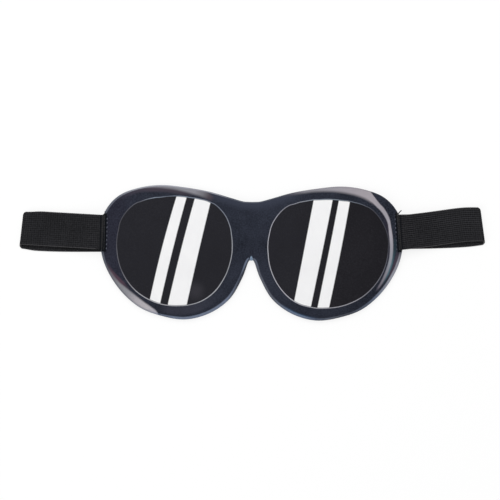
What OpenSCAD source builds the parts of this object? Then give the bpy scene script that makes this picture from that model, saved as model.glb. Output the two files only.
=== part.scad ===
// Padded eye mask on an elastic head loop, lying flat on a table with its printed front up.
// X runs from temple to temple, Y from the nose notch to the brow and Z up from the table.
// The origin is on the table under the middle of the mask.

/* [Mask outline] */
// Width of the mask from temple to temple
mask_w = 185; // [165:1:205]
// Height of the mask from its brow to its lowest edge
mask_h = 82; // [72:1:95]
// How far the upper edge dips over the nose
brow_dip = 9.9; // [3:0.1:13]
// Height of the nose notch above the lowest edge
notch_h = 36.2; // [28:0.2:42]
// Height of the widest points above the middle of the mask
temple_rise = 9; // [6:0.5:14]

/* [Pad] */
// Thickness of the printed front cloth
front_t = 0.6; // [0.4:0.1:0.9]
// Thickness of the lining cloth
lining_t = 0.5; // [0.3:0.1:0.8]
// Thickness of the foam
foam_t = 4; // [3:0.1:7]
// How much the pad swells in the middle
crown = 1; // [0:0.1:2.5]
// Width of the rounded rim
rim_w = 3.4; // [2.6:0.1:4.4]
// Width of the cloth turned in along the seam
turn_in = 4.5; // [3.5:0.1:7]
// How far the temples are pressed down by the strap's stitching
press = 1.6; // [0:0.1:2]

/* [Elastic strap] */
// Width across the two folds of the flattened loop
loop_w = 284.6; // [264:0.2:320]
// How far the flattened loop lies to the right of the mask's middle
loop_shift = 0.5; // [-3:0.1:3]
// Width of the elastic
strap_w = 20.6; // [16:0.2:24]
// Thickness of the elastic
strap_t = 1.2; // [0.8:0.1:1.6]
// Clear height inside each fold
fold_gap = 1.6; // [1:0.1:3]
// Tilt of the left run, outer end up, in degrees
left_tilt = 3; // [0:0.1:9]
// Tilt of the right run, outer end up, in degrees
right_tilt = 7.2; // [0:0.1:9]
// Slant of the left fold, lower corner out, in degrees
left_slant = 6; // [0:0.1:12]
// Slant of the right fold, lower corner out, in degrees
right_slant = 8.2; // [0:0.1:12]
// How far the band slips down along the crease as it turns round each fold
fold_drop = 3.3; // [0:0.1:5]
// Height of the back run behind the left fold
left_back_y = 9.2; // [7:0.1:16]
// Height of the back run behind the right fold
right_back_y = 14.3; // [7:0.1:16]

/* [Sewn strap ends] */
// How far the inner edge of the left hem lies inside the mask's widest point
left_hem_inset = 3.6; // [3:0.1:8]
// How far the inner edge of the right hem lies inside the mask's widest point
right_hem_inset = 4.1; // [3:0.1:8]
// Lean of the left hem's inner edge, in degrees
left_hem_lean = 2; // [0:0.1:9]
// Lean of the right hem's inner edge, in degrees
right_hem_lean = 3.9; // [0:0.1:9]
// Length of elastic folded under at each end
hem_len = 3.1; // [2.5:0.1:8]
// Width of the elastic at the hem, spread a little by the stitching
hem_w = 23.4; // [17:0.2:25]
// Height of the middle of the left hem above the mask's widest point
left_hem_rise = 3; // [0:0.1:6]
// Height of the middle of the right hem above the mask's widest point
right_hem_rise = 4.1; // [0:0.1:6]
// Length of one stitch
stitch_len = 2.6; // [2:0.1:4]
// Diameter of the sewing thread
thread_d = 0.3; // [0.2:0.05:0.4]

/* [Clearances] */
// Gap between one layer of the pad and the next
layer_gap = 0.1; // [0.05:0.05:0.2]
// Gap between the lining and the back run of the strap
rest_gap = 0.3; // [0.2:0.05:0.5]

/* [Hidden] */

// Stations across one half, from the nose to the temple. Each has its share of the half width, then how far the
// upper edge is below the brow, as a share of the brow dip and of the drop to the temple, and then how far the
// lower edge is above the lowest point, as a share of the notch and of the climb to the temple.
STATIONS = [
    [0, 1, 0, 1, 0],
    [0.02, 0.995, 0, 0.975, 0],
    [0.06, 0.965, 0, 0.7, 0],
    [0.14, 0.755, 0, 0.354, 0],
    [0.27, 0.407, 0, 0.111, 0],
    [0.43, 0.145, 0, 0, 0],
    [0.595, 0, 0, 0, 0.043],
    [0.747, 0, 0.057, 0, 0.156],
    [0.882, 0, 0.218, 0, 0.391],
    [0.972, 0, 0.541, 0, 0.689],
    [1, 0, 1, 0, 1]
];
last = len(STATIONS) - 1;

// Steps from one station to the next, apart from the short one at the nose, which has one
outline_steps = 2;

// Heights of the pad's layers over the table, where no strap lies under them
lining_fold = 2 * lining_t;
turn_low = lining_fold + layer_gap;
turn_top = turn_low + front_t;
foam_low = lining_t + layer_gap;
foam_top = foam_low + foam_t;
front_low = foam_top + layer_gap;
front_top = front_low + front_t;
belly_z = mix(turn_low, front_top, 0.3);

// How far the rim draws in from its widest line down to the seam
tuck = 0.9;
// How far the foam's lower corner keeps off the rim, to clear the seam thread
foam_tuck = tuck + front_t + 3 * thread_d;
// Width of the slope down from the turned-in cloth to the single lining
turn_step = 0.5;
// How far the lining's rolled edge lies inside the outline, and how wide the roll is
lining_in = 0.75;
lining_roll = 0.95;

// How far the pad rises over the back run, and the widths of the flat and of the slope beside it
rise = strap_t + rest_gap;
rise_flat = 2.8;
rise_fall = 16;
// The pressed patch at each temple reaches full depth and fades out over these widths
press_flat = 0.5;
press_fall = 10;
press_start = 5;

// Shares of the way from the rim to the middle line at which the pad's inner rings lie
INNER = [0.3, 0.6, 0.9];

// Heights of the hem's underside and top
hem_z = front_top - press + rise + layer_gap + 0.05;
hem_top = hem_z + 2 * strap_t;

// The fold: radius of the elastic's mid layer and height of the fold's middle
fold_r = (fold_gap + strap_t) / 2;
fold_z = strap_t + fold_gap / 2;
run_z = fold_z + fold_r;
// How sharply the back run lifts to the fold
back_power = 10;
// Share of the elastic's thickness that its edges are rounded by
edge_share = 0.35;

function mix(a, b, t) = a + (b - a) * t;
function smooth(t) = let (u = min(1, max(0, t))) u * u * (3 - 2 * u);
function unit(v) = v / norm(v);
function flip(p) = [-p.x, p.y];

// Outline of the mask, anticlockwise from the right temple
function upper(k) = [k[0] * mask_w / 2, mask_h / 2 - k[1] * brow_dip - k[2] * (mask_h / 2 - temple_rise)];
function lower(k) = [k[0] * mask_w / 2, -mask_h / 2 + k[3] * notch_h + k[4] * (mask_h / 2 + temple_rise)];
KNOTS = concat(
    [for (i = [last:-1:0]) upper(STATIONS[i])],
    [for (i = [1:last]) flip(upper(STATIONS[i]))],
    [for (i = [last - 1:-1:0]) flip(lower(STATIONS[i]))],
    [for (i = [1:last - 1]) lower(STATIONS[i])]
);
function curve(a, b, c, d, t) =
    b + t * (c - a) / 2 + t * t * (a - 2.5 * b + 2 * c - d / 2) + t * t * t * (1.5 * (b - c) + (d - a) / 2);
function knot(i) = KNOTS[(i + len(KNOTS)) % len(KNOTS)];
function steps(i) = let (k = i % (2 * last)) k == last - 1 || k == last ? 1 : outline_steps;
OUTLINE = [for (i = [0:len(KNOTS) - 1], j = [0:steps(i) - 1])
    curve(knot(i - 1), knot(i), knot(i + 1), knot(i + 2), j / steps(i))];
count = len(OUTLINE);
function along(i) = OUTLINE[(i + count) % count];
// Way in from the edge at each point, and the point of the middle line that it ends on
INWARD = [for (i = [0:count - 1]) let (d = unit(along(i + 1) - along(i - 1))) [-d.y, d.x]];
MIDDLE = [for (i = [0:count - 1]) let (m = (along(i) + along(-i)) / 2) [m.x * 0.75, m.y]];

// Middle height of the back run at any place across
function back_y(x) = let (side = x < 0 ? -1 : 1, end = back_hub(side))
    straight_y(x) + (end.y - straight_y(end.x)) * pow(abs(x / end.x), back_power);
function straight_y(x) = mix(left_back_y, right_back_y, x / loop_w + 0.5);

// How far the strap under the pad lifts it, and how far the stitching presses it down
function lifted(p) = let (off = abs(p.y - back_y(p.x)) - strap_w / 2)
    rise * smooth(1 - (off - rise_flat) / rise_fall);
function pressed(p) = let (side = p.x < 0 ? -1 : 1,
                           across = (abs(p.x) - hem_x(side) + press_start + press_fall) / press_fall,
                           off = abs(p.y - hem_y(side)) - hem_w / 2)
    press * smooth(across) * smooth(1 - (off - press_flat) / press_fall);

// A ring of the pad: a distance in from the edge, a share of the way on to the middle line, a height, and the
// share of the pressing that reaches it
function ring(spec) = [for (i = [0:count - 1])
    let (p = mix(OUTLINE[i] + INWARD[i] * spec[0], MIDDLE[i], spec[1]))
    [p.x, p.y, spec[2] + lifted(p) - pressed(p) * spec[3]]];
// The rounded rim at one angle: -90 is its seam, 0 its widest line and 90 the start of the flat front
function rim(angle, inset, low, high) = angle < 0
    ? [inset + tuck * (1 - cos(angle)), 0, belly_z + (belly_z - low) * sin(angle), 0]
    : [inset + (rim_w - inset) * (1 - cos(angle)), 0, belly_z + (high - belly_z) * sin(angle), sin(angle)];
function domed(share, z) = [rim_w, share, z + crown * (1 - pow(1 - share, 2)), 1];
function flat(share, z) = [turn_in + 2 * turn_step, share, z, 0];

// Faces between two rings of n points, and across one ring from its upper half to its lower half. Walls that run
// inwards are split the other way, so that two skins that face each other lie parallel.
function quad(a, b, c, d) = [[a, b, c], [a, c, d]];
function wall(n, j, inwards) = [for (i = [0:n - 1])
    let (k = (i + 1) % n, a = j * n + k, b = (j + 1) * n + k, c = (j + 1) * n + i, d = j * n + i)
    each inwards ? quad(b, c, d, a) : quad(a, b, c, d)];
function ladder(n, from) = concat(
    [[from, from + n - 1, from + 1], [from + n / 2 - 1, from + n / 2 + 1, from + n / 2]],
    [for (i = [1:1:n / 2 - 2]) each quad(from + n - i, from + n - i - 1, from + i + 1, from + i)]);
function turned(faces) = [for (f = faces) [f[0], f[2], f[1]]];

// Closed skin over a stack of rings
module skin(rings) {
    n = len(rings[0]);
    m = len(rings);
    polyhedron([for (r = rings) each r],
        concat(ladder(n, 0), [for (j = [0:m - 2]) each wall(n, j, rings[j + 1][0].x < rings[j][0].x)],
            turned(ladder(n, (m - 1) * n))));
}

// Closed ring of tube, where the last section joins the first
module tube_ring(sections) {
    n = len(sections[0]);
    m = len(sections);
    polyhedron([for (s = sections) each s],
        [for (j = [0:m - 1], i = [0:n - 1]) let (a = j * n, b = ((j + 1) % m) * n, k = (i + 1) % n)
            each quad(a + k, b + k, b + i, a + i)]);
}

// One section of elastic: its middle, the way across, the way to its outer face, its width and its thickness
function section(mid, across, out, w, t) = let (e = t * edge_share, x = w / 2, y = t / 2)
    [for (c = [[y, e - x], [y, x - e], [y - e, x], [e - y, x], [-y, x - e], [-y, e - x], [e - y, -x], [y - e, -x]])
        mid + out * c[0] + across * c[1]];

// Ways out and across at one side, for a run tilted by an angle
function outward(side, angle) = [side * cos(angle), sin(angle), 0];
function across(side, angle) = [-sin(angle), side * cos(angle), 0];
function tilt(side) = side < 0 ? left_tilt : right_tilt;
function slant(side) = side < 0 ? left_slant : right_slant;

function lean(side) = side < 0 ? left_hem_lean : right_hem_lean;

// Middle of the hem's inner edge, the fold's outermost point, and the line that the fold turns round
function hem_x(side) = mask_w / 2 - (side < 0 ? left_hem_inset : right_hem_inset);
function hem_y(side) = temple_rise + (side < 0 ? left_hem_rise : right_hem_rise);
function hem_mid(side) = [side * hem_x(side), hem_y(side), 0];
function fold_tip(side) = let (
    x = loop_w / 2 + side * loop_shift - (strap_w + fold_drop) / 2 * sin(slant(side)))
    [side * x, hem_y(side) + (x - hem_x(side)) * tan(tilt(side)), 0];
function fold_hub(side) = fold_tip(side) - outward(side, slant(side)) * (fold_r + strap_t / 2);
function back_hub(side) = fold_hub(side) - across(side, slant(side)) * side * fold_drop;

// The elastic at one angle round its fold: 90 is on the upper run, 0 at the crease and -90 on the back run
function fold_section(side, angle, face) = let (
    spoke = outward(side, slant(side)) * cos(angle) + [0, 0, sin(angle)],
    hub = mix(fold_hub(side), back_hub(side), (1 - sin(angle)) / 2),
    mid = hub + [0, 0, fold_z] + spoke * fold_r)
    section(mid, across(side, slant(side)) * (face > 0 ? 1 : side), spoke * face, strap_w, strap_t);

// Visible run of the strap: the hem on the mask, the run down to the fold, and the fold's upper half
function run_section(side, share) = let (
    start = hem_mid(side) + outward(side, tilt(side)) * (hem_len + strap_t),
    mid = mix(start, fold_hub(side), share),
    high = hem_z + 1.5 * strap_t,
    turn = mix(tilt(side), slant(side), smooth(share)))
    section([mid.x, mid.y, mix(high, run_z, smooth(share * 1.6))], across(side, turn), [0, 0, 1],
        strap_w, strap_t);
function hem_section(side, s, low, t, turn, w = hem_w) =
    section(hem_mid(side) + outward(side, tilt(side)) * s + [0, 0, low + t / 2],
        across(side, turn), [0, 0, 1], w, t);
module strap_run(side) {
    skin(concat(
        [hem_section(side, 0, hem_z + strap_t * 0.6, strap_t * 0.8, lean(side)),
         hem_section(side, strap_t * 0.25, hem_z + strap_t * 0.25, strap_t * 1.5, lean(side)),
         hem_section(side, strap_t * 0.8, hem_z, strap_t * 2, lean(side)),
         hem_section(side, hem_len, hem_z, strap_t * 2, tilt(side)),
         hem_section(side, hem_len + 0.3, hem_z + strap_t, strap_t, tilt(side), (hem_w + strap_w) / 2)],
        [for (share = [0:0.1:1]) run_section(side, share)],
        [for (angle = [60:-30:0]) fold_section(side, angle, 1)]));
}

// Row of lockstitches along a hem: the thread on top, the thread at the lining and the legs that join them
stitch_count = floor((hem_w - 2 * edge_share * strap_t) / stitch_len);
module stitch_row(side) {
    low = rise + thread_d / 2;
    high = hem_top + thread_d / 2;
    start = -stitch_count * stitch_len / 2;
    translate(hem_mid(side)) rotate([0, 0, side * lean(side)]) translate([side * strap_t, 0, 0]) {
        for (i = [0:stitch_count]) translate([0, start + i * stitch_len, low])
            cylinder(h = high - low, d = thread_d, $fn = 6);
        for (i = [0:stitch_count - 1], z = [low, high])
            translate([0, start + i * stitch_len, z]) rotate([-90, 0, 0])
                cylinder(h = stitch_len, d = thread_d, $fn = 6);
    }
}

// Back run: from the left crease, under the mask, to the right crease
function back_section(f) = let (
    side = f < 0 ? -1 : 1,
    x = back_hub(side).x * sin(90 * abs(f)),
    turn = side * slant(side) * pow(abs(f), back_power / 2))
    section([x, back_y(x), strap_t / 2], [-sin(turn), cos(turn), 0], [0, 0, 1], strap_w, strap_t);
module strap_back() {
    color([0.13, 0.13, 0.13]) skin(concat(
        [for (angle = [0:-30:-60]) fold_section(-1, angle, -1)],
        [for (f = [-1:0.0625:1]) back_section(f)],
        [for (angle = [-60:30:0]) fold_section(1, angle, -1)]));
}

// Lining: flat on the table and on the strap, with its edge turned in along the seam
module back_cover() {
    color([0.1, 0.1, 0.11]) skin([for (spec = concat(
        [for (s = [len(INNER) - 1:-1:0]) flat(INNER[s], lining_t)],
        [[turn_in + turn_step, 0, lining_t, 0], [turn_in, 0, lining_fold, 0]],
        [for (a = [90:-45:-90]) [lining_in + lining_roll * (1 - cos(a)), 0, lining_t * (1 + sin(a)), 0]],
        [for (s = INNER) flat(s, 0)])) ring(spec)]);
}

// Foam: it fills the front cover and steps up over the turned-in cloth
module padding() {
    inset = front_t + layer_gap;
    color([0.82, 0.82, 0.8]) skin([for (spec = concat(
        [for (s = [len(INNER) - 1:-1:0]) domed(INNER[s], foam_top)],
        [for (a = [90:-45:0]) rim(a, inset, turn_top, foam_top)],
        [[foam_tuck, 0, turn_top + layer_gap, 0], [turn_in + layer_gap, 0, turn_top + layer_gap, 0],
         [turn_in + turn_step, 0, foam_low, 0]],
        [for (s = INNER) flat(s, foam_low)])) ring(spec)]);
}

// Printed cloth: the crowned front, the rounded rim and the edge turned in over the lining's
module front_cover() {
    color([0.17, 0.2, 0.27]) skin([for (spec = concat(
        [for (s = [len(INNER) - 1:-1:0]) domed(INNER[s], front_top)],
        [for (a = [90, 45, 0, -90]) rim(a, 0, turn_low, front_top)],
        [[turn_in, 0, turn_low, 0], [turn_in, 0, turn_top, 0]],
        [for (a = [-90, 0, 45, 90]) rim(a, front_t, turn_top, front_low)],
        [for (s = INNER) domed(s, front_low)])) ring(spec)]);
}

// Seam thread: it lies on the turned-in cloth, close inside the rim, all the way round
module seam_thread() {
    inset = front_t + tuck + thread_d * 0.7;
    height = turn_top + thread_d / 2;
    color([0.08, 0.08, 0.08]) tube_ring([for (i = [0:count - 1])
        let (p = OUTLINE[i] + INWARD[i] * inset)
        [for (a = [0:-72:-288]) let (w = INWARD[i] * cos(a) * thread_d / 2)
            [p.x + w.x, p.y + w.y, height + lifted(p) + sin(a) * thread_d / 2]]]);
}

module strap_left() {
    color([0.13, 0.13, 0.13]) strap_run(-1);
}

module strap_right() {
    color([0.13, 0.13, 0.13]) strap_run(1);
}

module stitching_left() {
    color([0.06, 0.06, 0.06]) stitch_row(-1);
}

module stitching_right() {
    color([0.06, 0.06, 0.06]) stitch_row(1);
}

strap_back();
back_cover();
padding();
front_cover();
seam_thread();
strap_left();
strap_right();
stitching_left();
stitching_right();
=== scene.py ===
# Padded eye mask on an elastic head loop, lying flat on a white table with its printed front up.
# Sizes are in millimetres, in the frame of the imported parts, and are made metres where a mesh is made.
# A value that differs between the left (-1) and the right (1) side is kept by side.
from math import cos, pi, radians, sin, tan

import bmesh
import bpy
import numpy as np
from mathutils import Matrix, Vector


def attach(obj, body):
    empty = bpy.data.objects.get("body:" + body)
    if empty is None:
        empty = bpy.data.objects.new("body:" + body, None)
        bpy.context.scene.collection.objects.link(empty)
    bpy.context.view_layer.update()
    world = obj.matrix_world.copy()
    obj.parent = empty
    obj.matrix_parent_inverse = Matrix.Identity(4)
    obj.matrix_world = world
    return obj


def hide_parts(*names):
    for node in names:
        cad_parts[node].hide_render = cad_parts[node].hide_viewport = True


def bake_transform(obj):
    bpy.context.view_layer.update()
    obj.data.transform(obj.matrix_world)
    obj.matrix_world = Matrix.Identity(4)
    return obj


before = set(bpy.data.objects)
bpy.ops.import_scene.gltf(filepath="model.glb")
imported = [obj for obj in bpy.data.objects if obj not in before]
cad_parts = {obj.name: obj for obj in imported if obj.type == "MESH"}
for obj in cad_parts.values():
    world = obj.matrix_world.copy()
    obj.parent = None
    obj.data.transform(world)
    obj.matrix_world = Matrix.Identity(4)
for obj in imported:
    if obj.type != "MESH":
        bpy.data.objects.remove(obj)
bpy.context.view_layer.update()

scene = bpy.context.scene


# ---- Back run of the elastic -------------------------------------------
# Ribbed woven elastic, a 20 mm webbing, black. One length goes round the head. Laid down flat, its middle lies on
# the table behind the mask, lifts to a fold at each side and comes back over itself to the temples.
LOOP_W, LOOP_SHIFT = 284.6, 0.5  # the loop lies a little to the right of the mask's middle
BAND_W, BAND_T = 21.2, 1.2
FOLD_R, FOLD_Z = 1.4, 2.0  # radius of the fold's mid layer, and the height of its middle
FOLD_DROP = {-1: 2.9, 1: 2.5}  # how far the band slips down along the crease as it turns round the fold
FOLD_SAG = {-1: 0.0, 1: 0.45}  # each fold lies lower than its side run points by this
TILT = {-1: 3.0, 1: 7.2}  # each side run rises outwards by this angle
SLANT = {-1: 6.0, 1: 8.2}  # each fold leans by this angle, lower corner out
BACK_Y = (9.5, 14.6)  # height of the back run behind the left and the right fold
BACK_LIFT = 10  # how sharply the back run lifts to the fold
HEM_X = {-1: 88.4, 1: 88.2}  # each hem's inner edge, from the middle
HEM_Y = {-1: 11.7, 1: 12.8}  # height of the middle of each hem
TOP_IN = {-1: 0.75, 1: 0.15}  # the upper selvage is drawn in by this on its way to the fold
CORNER_IN = 0.5  # and by this more at the crease
LOW_IN = {-1: 0.5, 1: 0.15}  # the lower selvage is drawn in by this at the crease
LOW_REACH = 8  # and is back on its line this far along the back run
RIB, RIB_DEPTH = 1.22, 0.22  # pitch and depth of the lengthwise ribs
PICK, PICK_DEPTH = 1.35, 0.1  # pitch and depth of the weft loops that show at the selvages
SELVAGE_IN, SELVAGE_OUT = 0.9, 0.2  # the ribs give way to the loops between these depths
FOLD_STEP = 7.5  # degrees between two stops round a fold
# yarn colours: black; a lighter tone for worn patches and for the painted highlight on the rib crowns; a painted
# highlight for the selvages
BLACK_YARN, WORN_AND_LIT_YARN, SELVAGE_HIGHLIGHT = "#0c0c0e", "#323235", "#4b4a4c"
LIT_HEM, HEM_SHADE = "#2b2b2c", "#0d1015"
HEM_DARK, HEM_LIT = 1.35, 2.05  # the painted shade at the hem's inner edge ends here, and the painted highlight on its back lies here
HEM_TURN, HEM_AWAY = 0.045, 0.4  # both lie further out by this with each millimetre down, and at the left
DOWN, UP = np.array([0, 0, -1]), np.array([0, 0, 1])


def ease(t):
    """Smooth step from 0 to 1."""
    t = np.clip(t, 0, 1)
    return t * t * (3 - 2 * t)


def mix(a, b, t):
    return a + (b - a) * t


def by_side(x, pair):
    """The left or the right value of a pair, for each place across."""
    return np.where(x < 0, pair[-1], pair[1])


def outward(side, degrees):
    """Way out from the mask at one side, turned up by an angle."""
    a = radians(degrees)
    return np.array([side * cos(a), sin(a), 0])


def upward(side, degrees):
    """Way across the band, towards its upper selvage."""
    a = radians(degrees)
    return np.array([-side * sin(a), cos(a), 0])


def fold_hub(side):
    """Line that the fold turns round, at the table."""
    lean, tilt = radians(SLANT[side]), radians(TILT[side])
    x = LOOP_W / 2 + side * LOOP_SHIFT - (BAND_W + FOLD_DROP[side]) / 2 * sin(lean)
    y = HEM_Y[side] + (x - HEM_X[side]) * tan(tilt) - FOLD_SAG[side]
    return np.array([side * x, y, 0]) - outward(side, SLANT[side]) * (FOLD_R + BAND_T / 2)


def back_hub(side):
    """Where the back run leaves the fold."""
    return fold_hub(side) - upward(side, SLANT[side]) * FOLD_DROP[side]


def back_height(x):
    """Middle of the back run at any place across."""
    x = np.asarray(x, float)
    hubs = {side: back_hub(side) for side in (-1, 1)}
    lift = {side: hub[1] - mix(*BACK_Y, hub[0] / LOOP_W + 0.5) for side, hub in hubs.items()}
    reach = {side: abs(hub[0]) for side, hub in hubs.items()}
    return mix(*BACK_Y, x / LOOP_W + 0.5) + by_side(x, lift) * (np.abs(x) / by_side(x, reach)) ** BACK_LIFT


def fold_stop(side, degrees):
    """The band at one angle round its fold: 90 on the side run, 0 at the crease, -90 on the table."""
    a = radians(degrees)
    up = upward(side, SLANT[side])
    spoke = outward(side, SLANT[side]) * cos(a) + UP * sin(a)
    drawn_in = CORNER_IN * cos(a) ** 2 + TOP_IN[side] * (1 + sin(a)) / 2
    low_in = LOW_IN[side] * (cos(a) ** 2 if a > 0 else 1)
    hub = mix(fold_hub(side), back_hub(side), (1 - sin(a)) / 2) + up * (low_in - drawn_in) / 2
    return hub + [0, 0, FOLD_Z] + spoke * FOLD_R, up, spoke, BAND_W - drawn_in - low_in


def back_stop(f):
    """The band at one place along its back run: -1 at the left fold, 1 at the right one."""
    side = -1 if f < 0 else 1
    share = sin(pi / 2 * abs(f))
    x = back_hub(side)[0] * share
    lean = side * radians(SLANT[side]) * share ** (BACK_LIFT / 2)
    across = np.array([-sin(lean), cos(lean), 0])
    low_in = LOW_IN[side] * (1 - float(ease(abs(back_hub(side)[0] - x) / LOW_REACH)))
    mid = np.array([x, float(back_height(x)), BAND_T / 2])
    return mid + across * low_in / 2, across, DOWN, BAND_W - low_in


def band_points(stops, samples):
    """The skin of a band through its stops, each a middle, a way across, a way out and a width."""
    flat = np.linspace(-1, 1, samples)
    bow = np.radians(np.linspace(90, -90, 7)[1:-1])
    across = np.concatenate([flat, np.ones(5), flat[::-1], -np.ones(5)])
    corner = np.concatenate([0 * flat, np.cos(bow), 0 * flat, -np.cos(bow)])
    height = np.concatenate([0 * flat + 1, np.sin(bow), 0 * flat - 1, np.sin(bow[::-1])])
    mid, up, out = (np.array([s[k] for s in stops], float)[:, None, :] for k in range(3))
    width = np.array([s[3] for s in stops], float)[:, None]
    half = BAND_T / 2
    u = across * (width / 2 - half) + corner * half
    nominal = np.broadcast_to(across * (BAND_W / 2 - half) + corner * half, u.shape)
    step = np.linalg.norm(np.diff(mid[:, 0], axis=0), axis=1)
    along = np.broadcast_to(np.concatenate([[0], np.cumsum(step)])[:, None], u.shape)
    points = mid + up * u[..., None] + out * (height * half)[..., None]
    weave = np.stack([nominal, along, np.broadcast_to(height, u.shape)], axis=-1)
    return points, weave


def placed(name, data):
    """A new object in the scene."""
    made = bpy.data.objects.new(name, data)
    scene.collection.objects.link(made)
    return made


def net(name, points, order=None, caps=True, marks=None):
    """Mesh over rows of points that each close on themselves. An order makes some of the points the same one."""
    rows, cols = points.shape[:2]
    index = np.arange(rows * cols).reshape(rows, cols) if order is None else order
    used, place = np.unique(index, return_inverse=True)

    def kept(values):
        """One value for each point that is left."""
        found = np.zeros((len(used), 3))
        found[place] = values.reshape(-1, 3)
        return found

    index = place.reshape(rows, cols)
    a, b = index[:-1], index[1:]
    faces = np.stack([a, np.roll(a, -1, 1), np.roll(b, -1, 1), b], -1).reshape(-1, 4).tolist()
    sides = len(faces)
    if caps:
        faces += [index[0].tolist(), index[-1].tolist()]
    mesh = bpy.data.meshes.new(name)
    mesh.from_pydata((kept(points) / 1000).tolist(), [], faces)
    mesh.polygons.foreach_set("use_smooth", [k < sides for k in range(len(faces))])
    for mark, values in (marks or {}).items():
        mesh.attributes.new(mark, "FLOAT_VECTOR", "POINT").data.foreach_set("vector", kept(values).ravel())
    work = bmesh.new()
    work.from_mesh(mesh)
    bmesh.ops.recalc_face_normals(work, faces=work.faces)
    work.to_mesh(mesh)
    work.free()
    return placed(name, mesh)


class Wire:
    """One output of a node. Arithmetic on wires and numbers adds the Math nodes that do it."""

    def __init__(self, bench, socket):
        self.bench, self.socket = bench, socket

    def maths(self, operation, *others):
        return self.bench.node("ShaderNodeMath", dict(enumerate((self, *others))), operation=operation)

    def __add__(self, other):
        return self.maths("ADD", other)

    def __mul__(self, other):
        return self.maths("MULTIPLY", other)

    def __sub__(self, other):
        return self.maths("SUBTRACT", other)

    def __truediv__(self, other):
        return self.maths("DIVIDE", other)

    def __pow__(self, other):
        return self.maths("POWER", other)

    def __rsub__(self, other):
        return self.bench.node("ShaderNodeMath", {0: other, 1: self}, operation="SUBTRACT")

    __radd__, __rmul__ = __add__, __mul__

    def rise(self, start, end):
        """0 before start and 1 after end, smooth between. It falls where start is above end."""
        return self.bench.node("ShaderNodeMapRange", {"Value": self, "From Min": start, "From Max": end},
                               interpolation_type="SMOOTHSTEP")

    def near(self, centre, reach, soft):
        """1 within a reach of a number, fading out over a soft edge."""
        return (self - centre).maths("ABSOLUTE").rise(reach + soft / 2, reach - soft / 2)

    def wave(self, reach, soft):
        """1 in the middle of each whole step, fading out to both sides."""
        return self.maths("FRACT").near(0.5, reach, soft)


def hue(code):
    """A colour written as on a screen, made linear."""
    parts = [int(code[k:k + 2], 16) / 255 for k in (1, 3, 5)]
    return (*[p / 12.92 if p <= 0.04045 else ((p + 0.055) / 1.055) ** 2.4 for p in parts], 1)


class Bench:
    """A node tree being wired."""

    def __init__(self, tree):
        self.tree = tree

    def node(self, kind, sockets=None, out=0, **settings):
        """Adds a node, gives it its settings, wires or sets its sockets, and returns one of its outputs."""
        made = self.tree.nodes.new(kind)
        for name, value in settings.items():
            if name == "stops":
                ramp = made.color_ramp
                while len(ramp.elements) < len(value):
                    ramp.elements.new(0.5)
                for element, (place, shade, share) in zip(ramp.elements, value):
                    element.position = place
                    element.color = (*hue(shade)[:3], share)
            elif name == "knots":
                curve = made.mapping.curves[0]
                while len(curve.points) < len(value):
                    curve.points.new(0.5, 0.5)
                for point, place in zip(curve.points, value):
                    point.location = place
                made.mapping.update()
            else:
                setattr(made, name, value)
        for name, value in (sockets or {}).items():
            socket = made.inputs[name]
            if isinstance(value, Wire):
                self.tree.links.new(value.socket, socket)
            else:
                socket.default_value = value
        return Wire(self, made.outputs[out]) if len(made.outputs) else made

    def tint(self, share, under, over):
        """One colour laid over another by a share."""
        under, over = (hue(c) if isinstance(c, str) else c for c in (under, over))
        return self.node("ShaderNodeMix", {0: share, 6: under, 7: over}, out=2, data_type="RGBA")

    def all_of(self, wire):
        """Every output of the node behind a wire."""
        return [Wire(self, socket) for socket in wire.socket.node.outputs]

    def parts(self, vector):
        return self.all_of(self.node("ShaderNodeSeparateXYZ", {0: vector}))

    def marked(self, name):
        """The three parts of a mark that the mesh carries."""
        return self.parts(self.node("ShaderNodeAttribute", out=1, attribute_name=name))

    def here(self):
        """The object's own place, in metres."""
        return self.node("ShaderNodeTexCoord", out=3)

    def spread(self, place, knots):
        """A place as a share of the way through the knots, and the knots by their share."""
        first, last = knots[0][0], knots[-1][0]
        return (place - first) / (last - first), [((k[0] - first) / (last - first), *k[1:]) for k in knots]

    def profile(self, place, knots):
        """A smooth curve through knots, each a place and the value there."""
        share, knots = self.spread(place, knots)
        low, high = min(v for _, v in knots) - 1, max(v for _, v in knots) + 1
        marks = [(at, (v - low) / (high - low)) for at, v in knots]
        return self.node("ShaderNodeFloatCurve", {"Value": share}, knots=marks) * (high - low) + low

    def shades(self, place, stops):
        """Colour and strength along a line of stops, each a place, a colour and a strength."""
        share, stops = self.spread(place, stops)
        return self.all_of(self.node("ShaderNodeValToRGB", {"Fac": share}, stops=stops))

    def grain(self, scale, detail=2.0, stretch=(1, 1, 1)):
        """Soft noise on the object's own place, in lumps of 1/scale metres."""
        place = self.node("ShaderNodeMapping", {"Vector": self.here(), "Scale": stretch})
        return self.node("ShaderNodeTexNoise", {"Vector": place, "Scale": scale, "Detail": detail})


def surface(name, look):
    """A material whose surface is the shader that look() makes."""
    material = bpy.data.materials.new(name)
    material.use_nodes = True
    material.node_tree.nodes.clear()
    bench = Bench(material.node_tree)
    bench.node("ShaderNodeOutputMaterial", {"Surface": look(bench)})
    return material


def finish(name, paint, fixed):
    """A material: paint() gives its colour, its roughness and its relief, a height from 0 to 1 and a depth in
    millimetres. What is fixed are constants of its shader."""
    def look(bench):
        colour, roughness, height, depth = paint(bench)
        relief = bench.node("ShaderNodeBump", {"Height": height, "Distance": depth / 1000, "Strength": 1.0})
        return bench.node("ShaderNodeBsdfPrincipled",
                          {"Base Color": colour, "Roughness": roughness, "Normal": relief, **fixed})

    return surface(name, look)


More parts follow.
